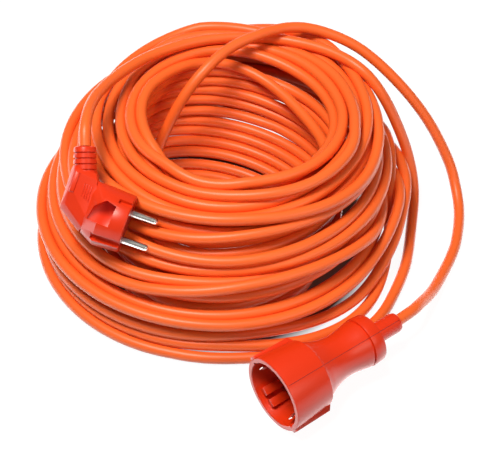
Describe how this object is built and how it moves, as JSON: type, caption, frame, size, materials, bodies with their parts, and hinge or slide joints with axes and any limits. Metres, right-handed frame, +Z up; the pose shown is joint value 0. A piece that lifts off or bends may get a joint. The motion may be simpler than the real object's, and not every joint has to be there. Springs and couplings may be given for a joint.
{
  "type": "extension cord",
  "caption": "Coiled orange extension lead with an angled two-pin plug and a round earthed socket, lying on a flat surface.",
  "frame": {"origin": "centre of the box around the coiled lead, on the surface it lies on", "axes": "+Z up; the socket's side of the coil faces -Y and the plug's pins point roughly along +X"},
  "size_m": [0.3204, 0.3313, 0.1339],
  "materials": {
    "cord_pvc": "satin soft PVC sheath",
    "shell_pvc": "satin moulded soft PVC",
    "insert_plastic": "moulded hard plastic",
    "pin_nickel": "polished nickel plate",
    "contact_brass": "plain pressed brass",
    "clip_steel": "tinned spring steel",
    "core_brown": "smooth insulation",
    "core_blue": "smooth insulation",
    "core_green_yellow": "smooth insulation"
  },
  "bodies": {
    "root": {"cord_coil": "cord_pvc", "plug_lead": "cord_pvc", "socket_lead": "cord_pvc", "loose_turn": "cord_pvc", "plug_body": "shell_pvc", "plug_strain_relief": "shell_pvc", "plug_pin_bridge": "insert_plastic", "plug_pin_live": "pin_nickel", "plug_pin_neutral": "pin_nickel", "plug_earth_sleeve": "contact_brass", "plug_crimp_live": "contact_brass", "plug_crimp_neutral": "contact_brass", "plug_crimp_earth": "contact_brass", "plug_core_live": "core_brown", "plug_core_neutral": "core_blue", "plug_core_earth": "core_green_yellow", "socket_body": "shell_pvc", "socket_strain_relief": "shell_pvc", "socket_insert": "insert_plastic", "socket_contact_live": "contact_brass", "socket_contact_neutral": "contact_brass", "socket_earth_clip": "clip_steel", "socket_crimp_live": "contact_brass", "socket_crimp_neutral": "contact_brass", "socket_crimp_earth": "contact_brass", "socket_core_live": "core_brown", "socket_core_neutral": "core_blue", "socket_core_earth": "core_green_yellow"}
  },
  "joints": []
}
